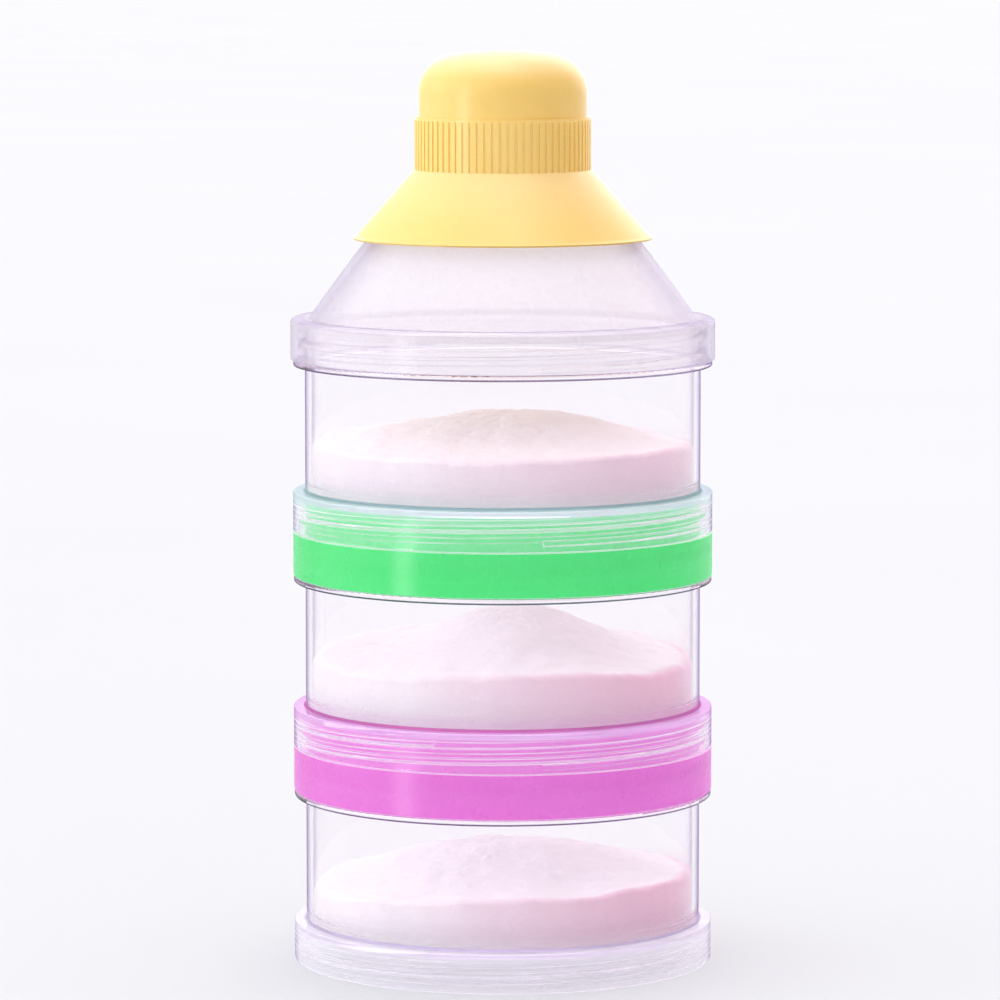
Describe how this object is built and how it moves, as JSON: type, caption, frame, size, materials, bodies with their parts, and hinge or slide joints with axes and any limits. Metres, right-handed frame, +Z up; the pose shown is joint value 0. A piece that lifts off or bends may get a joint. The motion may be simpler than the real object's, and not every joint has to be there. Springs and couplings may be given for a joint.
{
  "type": "formula dispenser",
  "caption": "Stacking formula dispenser: three round clear cups with heaped powder, two coloured screw lids between them, a milky pouring funnel and a brimmed screw cap.",
  "frame": {"origin": "centre of the base, on the surface that the bottom collar stands on", "axes": "+Z up along the common axis of all the pieces, +Y away from the front view"},
  "size_m": [0.0768, 0.0768, 0.1648],
  "materials": {
    "clear": "gloss",
    "green": "gloss",
    "pink": "gloss",
    "milky": "satin",
    "yellow": "satin",
    "silicone": "satin",
    "powder": "matte"
  },
  "bodies": {
    "bottom_tier": {"bottom_container": "clear", "powder_bottom": "powder"},
    "pink_seal": {"pink_seal_ring": "silicone"},
    "pink_lid": {"pink_lid": "pink"},
    "middle_powder": {"powder_middle": "powder"},
    "middle_container": {"middle_container": "clear"},
    "green_seal": {"green_seal_ring": "silicone"},
    "green_lid": {"green_lid": "green"},
    "top_powder": {"powder_top": "powder"},
    "top_container": {"top_container": "clear"},
    "funnel_seal": {"funnel_seal_ring": "silicone"},
    "funnel_lid": {"funnel_lid": "milky"},
    "cap_liner": {"cap_liner": "silicone"},
    "cap": {"cap": "yellow"}
  },
  "joints": [
    {"name": "pink_lid_rise", "type": "slide", "parent": "bottom_tier", "child": "pink_seal", "axis": [0, 0, 1], "range_m": [0, 0.009]},
    {"name": "pink_lid_turn", "type": "hinge", "parent": "pink_seal", "child": "pink_lid", "pos_m": [0, 0, 0], "axis": [0, 0, 1], "range_deg": [0, 1080]},
    {"name": "middle_container_rise", "type": "slide", "parent": "pink_lid", "child": "middle_powder", "axis": [0, 0, 1], "range_m": [0, 0.009]},
    {"name": "middle_container_turn", "type": "hinge", "parent": "middle_powder", "child": "middle_container", "pos_m": [0, 0, 0], "axis": [0, 0, 1], "range_deg": [0, 1080]},
    {"name": "green_lid_rise", "type": "slide", "parent": "middle_container", "child": "green_seal", "axis": [0, 0, 1], "range_m": [0, 0.009]},
    {"name": "green_lid_turn", "type": "hinge", "parent": "green_seal", "child": "green_lid", "pos_m": [0, 0, 0], "axis": [0, 0, 1], "range_deg": [0, 1080]},
    {"name": "top_container_rise", "type": "slide", "parent": "green_lid", "child": "top_powder", "axis": [0, 0, 1], "range_m": [0, 0.009]},
    {"name": "top_container_turn", "type": "hinge", "parent": "top_powder", "child": "top_container", "pos_m": [0, 0, 0], "axis": [0, 0, 1], "range_deg": [0, 1080]},
    {"name": "funnel_lid_rise", "type": "slide", "parent": "top_container", "child": "funnel_seal", "axis": [0, 0, 1], "range_m": [0, 0.009]},
    {"name": "funnel_lid_turn", "type": "hinge", "parent": "funnel_seal", "child": "funnel_lid", "pos_m": [0, 0, 0], "axis": [0, 0, 1], "range_deg": [0, 1080]},
    {"name": "cap_rise", "type": "slide", "parent": "funnel_lid", "child": "cap_liner", "axis": [0, 0, 1], "range_m": [0, 0.0255]},
    {"name": "cap_turn", "type": "hinge", "parent": "cap_liner", "child": "cap", "pos_m": [0, 0, 0], "axis": [0, 0, 1], "range_deg": [0, 3060]}
  ],
  "couplings": [
    {"joint": "pink_lid_rise", "follows": "pink_lid_turn", "m_per_rad": 0.00047746},
    {"joint": "middle_container_rise", "follows": "middle_container_turn", "m_per_rad": 0.00047746},
    {"joint": "green_lid_rise", "follows": "green_lid_turn", "m_per_rad": 0.00047746},
    {"joint": "top_container_rise", "follows": "top_container_turn", "m_per_rad": 0.00047746},
    {"joint": "funnel_lid_rise", "follows": "funnel_lid_turn", "m_per_rad": 0.00047746},
    {"joint": "cap_rise", "follows": "cap_turn", "m_per_rad": 0.00047746}
  ]
}
